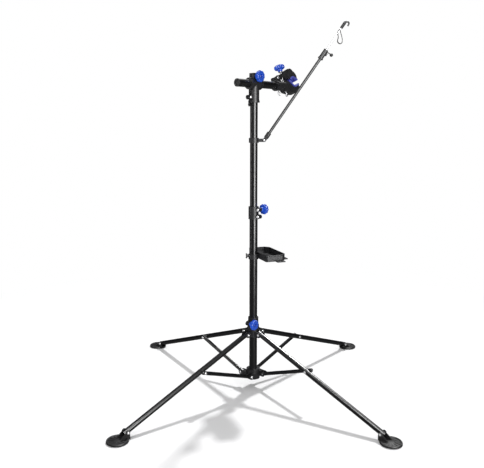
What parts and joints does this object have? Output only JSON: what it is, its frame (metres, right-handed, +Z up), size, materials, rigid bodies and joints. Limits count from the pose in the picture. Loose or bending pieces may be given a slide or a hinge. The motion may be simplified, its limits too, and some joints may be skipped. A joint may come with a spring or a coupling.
{
  "type": "bike repair stand",
  "caption": "Folding bike repair stand: scissor-leg base, telescopic post, T-head with clamp arm and padded jaws, star knobs, tool tray and handlebar rod with strap.",
  "frame": {"origin": "on the ground, on the post's axis, at the centre of the four feet", "axes": "+Z up along the post; the four legs stand at 45 degrees to X and Y; the handlebar rod leans towards +X"},
  "size_m": [1.0976, 1.0976, 1.5792],
  "materials": {
    "tube_black": "gloss black powder coat on steel tube",
    "plastic_grey": "fine textured dark grey nylon moulding",
    "plastic_black": "black moulded plastic",
    "foot_rubber": "matte black foot",
    "knob_blue": "vivid blue satin plastic",
    "pad_navy": "soft dark blue jaw rubber",
    "chrome": "bright plated fasteners",
    "steel": "zinc-plated screw and drawn rod",
    "strap_black": "black hook-and-loop webbing"
  },
  "bodies": {
    "post_base": {"lower_tube": "tube_black", "post_collar": "plastic_grey", "post_collar_bolts": "chrome", "base_hub": "plastic_grey", "base_hub_bolts": "chrome"},
    "strut_1": {"strut_1": "tube_black"},
    "strut_2": {"strut_2": "tube_black"},
    "strut_3": {"strut_3": "tube_black"},
    "strut_4": {"strut_4": "tube_black"},
    "leg_1": {"leg_1": "tube_black", "leg_bolts_1": "chrome"},
    "leg_2": {"leg_2": "tube_black", "leg_bolts_2": "chrome"},
    "leg_3": {"leg_3": "tube_black", "leg_bolts_3": "chrome"},
    "leg_4": {"leg_4": "tube_black", "leg_bolts_4": "chrome"},
    "foot_pad_1": {"foot_pad_1": "foot_rubber"},
    "foot_pad_2": {"foot_pad_2": "foot_rubber"},
    "foot_pad_3": {"foot_pad_3": "foot_rubber"},
    "foot_pad_4": {"foot_pad_4": "foot_rubber"},
    "upper_hub": {"upper_hub": "plastic_grey", "upper_hub_bolts": "chrome", "upper_hub_clamp_bolt": "chrome"},
    "upper_hub_knob": {"upper_hub_knob": "knob_blue"},
    "post_collar_knob": {"post_collar_knob": "knob_blue"},
    "upper_post": {"upper_tube": "tube_black", "upper_tube_plug": "plastic_black"},
    "neck_screw": {"neck_screw": "plastic_black"},
    "head": {"head": "plastic_grey", "head_neck_bolt": "chrome", "head_clamp_bolt": "chrome"},
    "head_knob": {"head_knob": "knob_blue"},
    "arm": {"arm_tube": "tube_black", "arm_end_cap": "plastic_black"},
    "clamp_body": {"clamp_body": "plastic_grey", "jaw_pivot_bolt": "chrome", "lower_jaw_pad": "pad_navy", "barrel_nut": "steel"},
    "lock_pin": {"lock_pin": "chrome"},
    "upper_jaw": {"upper_jaw": "plastic_grey", "upper_jaw_pad": "pad_navy"},
    "clamp_screw": {"clamp_screw": "steel"},
    "clamp_knob": {"clamp_knob": "knob_blue"},
    "rod_collar": {"rod_collar": "plastic_grey", "rod_pivot_bolt": "chrome"},
    "rod": {"rod_socket": "plastic_black", "rod_outer_tube": "tube_black", "rod_lock_sleeve": "plastic_black"},
    "rod_thumbscrew": {"rod_thumbscrew": "plastic_black"},
    "rod_inner": {"rod_inner": "steel", "rod_hook": "plastic_black", "rod_strap": "strap_black"},
    "tray_bush": {"tray_bush": "plastic_grey"},
    "tray_thumbscrew": {"tray_thumbscrew": "plastic_black"},
    "tray": {"tray": "plastic_grey"}
  },
  "joints": [
    {"name": "fold", "type": "hinge", "parent": "post_base", "child": "strut_1", "pos_m": [-0.03182, -0.03182, 0.0637], "axis": [-0.7071, 0.7071, 0], "range_deg": [0, 70]},
    {"name": "leg_1_on_strut", "type": "hinge", "parent": "strut_1", "child": "leg_1", "pos_m": [-0.21828, -0.21828, 0.15785], "axis": [-0.7071, 0.7071, 0], "range_deg": [-140, 0]},
    {"name": "hub_on_leg_1", "type": "hinge", "parent": "leg_1", "child": "upper_hub", "pos_m": [-0.03182, -0.03182, 0.252], "axis": [-0.7071, 0.7071, 0], "range_deg": [0, 70]},
    {"name": "leg_2_pivot", "type": "hinge", "parent": "upper_hub", "child": "leg_2", "pos_m": [0.03182, -0.03182, 0.252], "axis": [-0.7071, -0.7071, 0], "range_deg": [-70, 0]},
    {"name": "strut_2_pivot", "type": "hinge", "parent": "post_base", "child": "strut_2", "pos_m": [0.03182, -0.03182, 0.0637], "axis": [-0.7071, -0.7071, 0], "range_deg": [0, 70]},
    {"name": "leg_3_pivot", "type": "hinge", "parent": "upper_hub", "child": "leg_3", "pos_m": [0.03182, 0.03182, 0.252], "axis": [0.7071, -0.7071, 0], "range_deg": [-70, 0]},
    {"name": "strut_3_pivot", "type": "hinge", "parent": "post_base", "child": "strut_3", "pos_m": [0.03182, 0.03182, 0.0637], "axis": [0.7071, -0.7071, 0], "range_deg": [0, 70]},
    {"name": "leg_4_pivot", "type": "hinge", "parent": "upper_hub", "child": "leg_4", "pos_m": [-0.03182, 0.03182, 0.252], "axis": [0.7071, 0.7071, 0], "range_deg": [-70, 0]},
    {"name": "strut_4_pivot", "type": "hinge", "parent": "post_base", "child": "strut_4", "pos_m": [-0.03182, 0.03182, 0.0637], "axis": [0.7071, 0.7071, 0], "range_deg": [0, 70]},
    {"name": "foot_pad_1_swivel", "type": "hinge", "parent": "leg_1", "child": "foot_pad_1", "pos_m": [-0.47942, -0.47942, 0.026], "axis": [-0.7071, 0.7071, 0], "range_deg": [0, 70]},
    {"name": "foot_pad_2_swivel", "type": "hinge", "parent": "leg_2", "child": "foot_pad_2", "pos_m": [0.47942, -0.47942, 0.026], "axis": [-0.7071, -0.7071, 0], "range_deg": [0, 70]},
    {"name": "foot_pad_3_swivel", "type": "hinge", "parent": "leg_3", "child": "foot_pad_3", "pos_m": [0.47942, 0.47942, 0.026], "axis": [0.7071, -0.7071, 0], "range_deg": [0, 70]},
    {"name": "foot_pad_4_swivel", "type": "hinge", "parent": "leg_4", "child": "foot_pad_4", "pos_m": [-0.47942, 0.47942, 0.026], "axis": [0.7071, 0.7071, 0], "range_deg": [0, 70]},
    {"name": "upper_hub_knob_turn", "type": "hinge", "parent": "upper_hub", "child": "upper_hub_knob", "pos_m": [-0.02057, -0.02451, 0.301], "axis": [0.766, -0.6428, 0], "continuous": true},
    {"name": "post_collar_knob_turn", "type": "hinge", "parent": "post_base", "child": "post_collar_knob", "pos_m": [0.02375, -0.01993, 0.805], "axis": [0.6428, 0.766, 0], "continuous": true},
    {"name": "post_height", "type": "slide", "parent": "post_base", "child": "upper_post", "axis": [0, 0, 1], "range_m": [-0.24, 0.1]},
    {"name": "neck_screw_turn", "type": "hinge", "parent": "upper_post", "child": "neck_screw", "pos_m": [-0.01338, -0.01486, 1.245], "axis": [-0.6691, -0.7431, 0], "continuous": true},
    {"name": "head_yaw", "type": "hinge", "parent": "upper_post", "child": "head", "pos_m": [0, 0, 1.33], "axis": [0, 0, 1], "range_deg": [0, 110]},
    {"name": "head_knob_turn", "type": "hinge", "parent": "head", "child": "head_knob", "pos_m": [0.01486, -0.01338, 1.359], "axis": [0.7431, -0.6691, 0], "continuous": true},
    {"name": "arm_slide", "type": "slide", "parent": "head", "child": "arm", "axis": [0.6691, 0.7431, 0], "range_m": [-0.04, 0.05]},
    {"name": "clamp_roll", "type": "hinge", "parent": "arm", "child": "clamp_body", "pos_m": [0.10037, 0.11147, 1.33], "axis": [0.6691, 0.7431, 0], "continuous": true},
    {"name": "lock_pin_pull", "type": "slide", "parent": "clamp_body", "child": "lock_pin", "axis": [0.2542, -0.2289, -0.9397], "range_m": [0, 0.006], "stiffness_N_per_m": 800},
    {"name": "jaw_open", "type": "hinge", "parent": "clamp_body", "child": "upper_jaw", "pos_m": [0.09274, 0.11834, 1.35819], "axis": [0.6983, -0.6288, 0.342], "range_deg": [-5, 15]},
    {"name": "clamp_screw_travel", "type": "slide", "parent": "clamp_body", "child": "clamp_screw", "axis": [-0.2542, 0.2289, 0.9397], "range_m": [-0.009, 0.0265]},
    {"name": "clamp_knob_turn", "type": "hinge", "parent": "clamp_screw", "child": "clamp_knob", "pos_m": [0.11162, 0.16997, 1.41457], "axis": [-0.2542, 0.2289, 0.9397], "continuous": true},
    {"name": "rod_turn", "type": "hinge", "parent": "upper_post", "child": "rod_collar", "pos_m": [0, 0, 1.098], "axis": [0, 0, 1], "range_deg": [-110, 0]},
    {"name": "rod_tilt", "type": "hinge", "parent": "rod_collar", "child": "rod", "pos_m": [0.044, 0, 1.098], "axis": [0, 1, 0], "range_deg": [-12, 80]},
    {"name": "rod_thumbscrew_turn", "type": "hinge", "parent": "rod", "child": "rod_thumbscrew", "pos_m": [0.31027, 0, 1.45011], "axis": [0.8241, 0, -0.5664], "continuous": true},
    {"name": "rod_length", "type": "slide", "parent": "rod", "child": "rod_inner", "axis": [0.5664, 0, 0.8241], "range_m": [-0.04, 0.12]},
    {"name": "tray_height", "type": "slide", "parent": "post_base", "child": "tray_bush", "axis": [0, 0, 1], "range_m": [0, 0.13799]},
    {"name": "tray_thumbscrew_turn", "type": "hinge", "parent": "tray", "child": "tray_thumbscrew", "pos_m": [-0.02782, -0.01124, 0.603], "axis": [-0.9272, -0.3746, 0], "continuous": true},
    {"name": "tray_turn", "type": "hinge", "parent": "tray_bush", "child": "tray", "pos_m": [0, 0, 0.59], "axis": [0, 0, 1], "continuous": true}
  ],
  "couplings": [
    {"joint": "leg_1_on_strut", "follows": "fold", "ratio": -2},
    {"joint": "hub_on_leg_1", "follows": "fold", "ratio": 1},
    {"joint": "leg_2_pivot", "follows": "fold", "ratio": -1},
    {"joint": "strut_2_pivot", "follows": "fold", "ratio": 1},
    {"joint": "leg_3_pivot", "follows": "fold", "ratio": -1},
    {"joint": "strut_3_pivot", "follows": "fold", "ratio": 1},
    {"joint": "leg_4_pivot", "follows": "fold", "ratio": -1},
    {"joint": "strut_4_pivot", "follows": "fold", "ratio": 1},
    {"joint": "foot_pad_1_swivel", "follows": "fold", "ratio": 1},
    {"joint": "foot_pad_2_swivel", "follows": "fold", "ratio": 1},
    {"joint": "foot_pad_3_swivel", "follows": "fold", "ratio": 1},
    {"joint": "foot_pad_4_swivel", "follows": "fold", "ratio": 1},
    {"joint": "clamp_screw_travel", "follows": "jaw_open", "m_per_rad": 0.1},
    {"joint": "tray_height", "follows": "fold", "m_per_rad": 0.11287}
  ]
}
